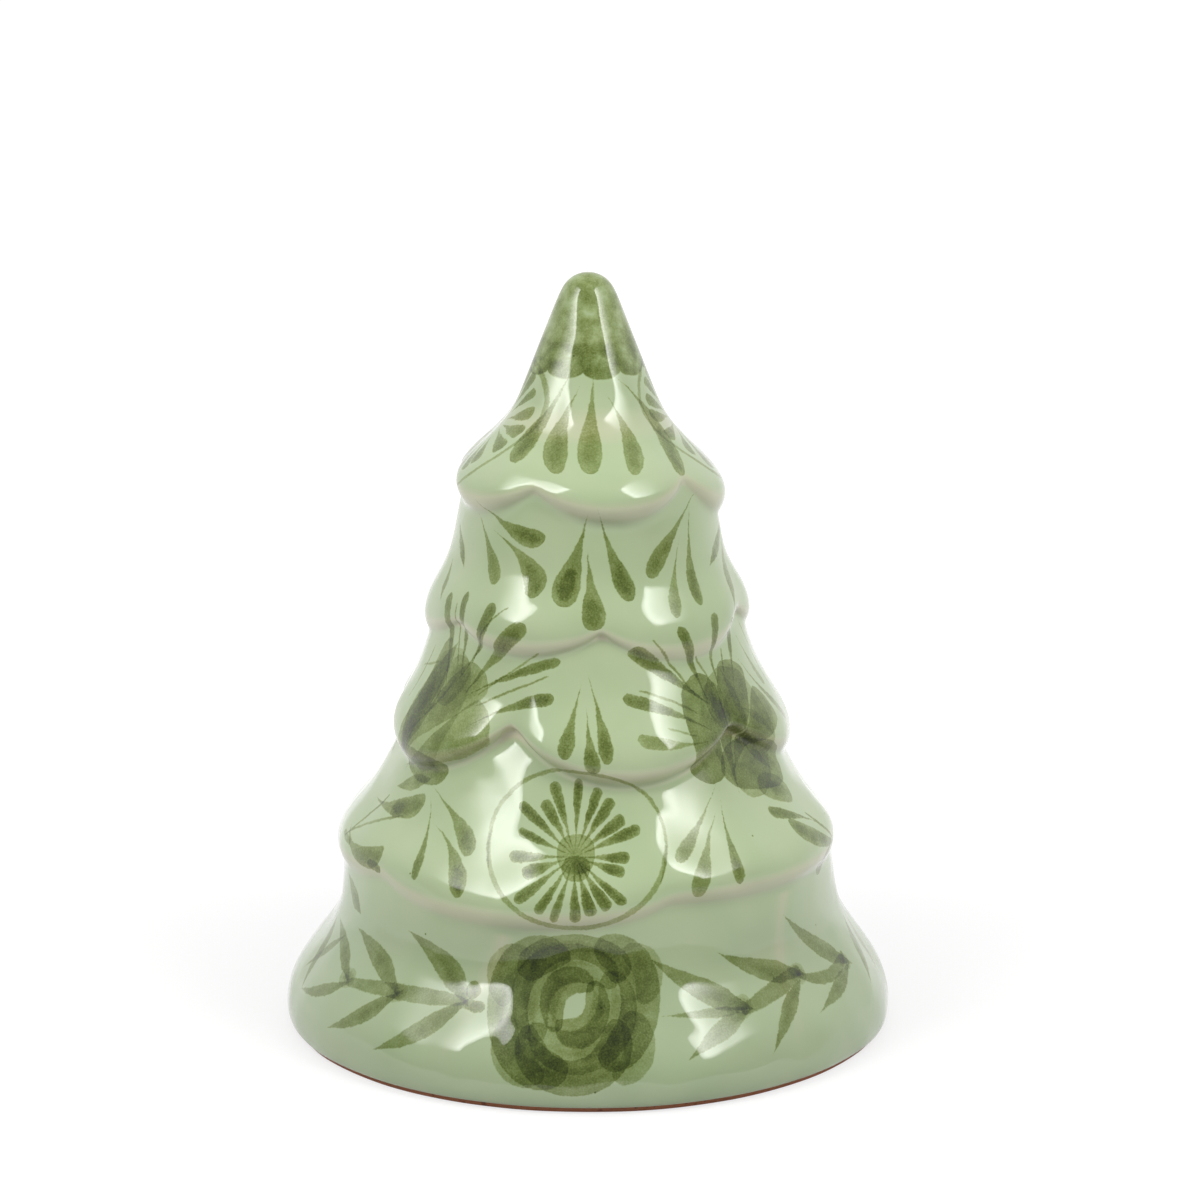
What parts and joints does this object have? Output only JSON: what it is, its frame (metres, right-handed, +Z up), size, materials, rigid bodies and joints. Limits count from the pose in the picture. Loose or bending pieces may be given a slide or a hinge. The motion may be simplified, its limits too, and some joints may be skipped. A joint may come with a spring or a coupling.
{
  "type": "christmas tree figurine",
  "caption": "Free-standing hollow ceramic tree with stacked scalloped tiers, a flared skirt and a flat open foot.",
  "frame": {"origin": "centre of the foot ring, on the surface the tree stands on", "axes": "+Z up the tree's axis to the tip; -Y is the painted front"},
  "size_m": [0.162, 0.162, 0.2],
  "materials": {
    "clay": "matt bare fired earthenware, seen at the foot and inside",
    "glaze": "glossy pale green glaze with olive green brush painting under it"
  },
  "bodies": {
    "root": {"clay_body": "clay", "glaze_coat": "glaze"}
  },
  "joints": []
}
